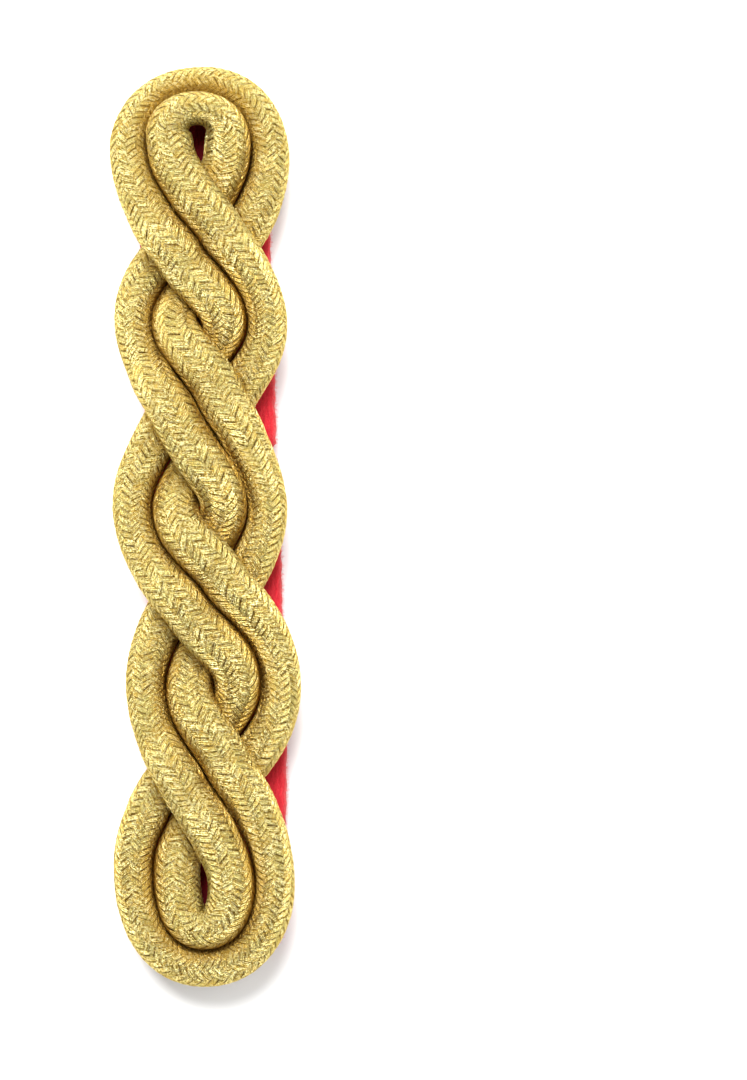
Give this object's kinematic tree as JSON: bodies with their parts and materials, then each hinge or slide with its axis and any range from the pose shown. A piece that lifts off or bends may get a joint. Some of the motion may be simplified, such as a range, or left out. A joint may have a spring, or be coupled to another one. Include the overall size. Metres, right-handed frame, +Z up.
{
  "type": "twisted shoulder cord",
  "caption": "Gold shoulder cord of paired braided cords twisted into loops on a red cloth backing, with a leather strap that has a button hole and runs through a leather keeper.",
  "frame": {"origin": "on the surface it lies on, under the middle of the whole piece", "axes": "+X across the cord, +Y along it towards the button end, +Z up through the face of the cords"},
  "size_m": [0.029, 0.1402, 0.0161],
  "materials": {
    "gold_braid": "braided metallic thread",
    "backing_cloth": "napped woven cloth",
    "red_leather": "grained, half gloss"
  },
  "bodies": {
    "root": {"outer_cord": "gold_braid", "inner_cord": "gold_braid", "backing": "backing_cloth", "strap": "red_leather", "keeper": "red_leather"}
  },
  "joints": []
}
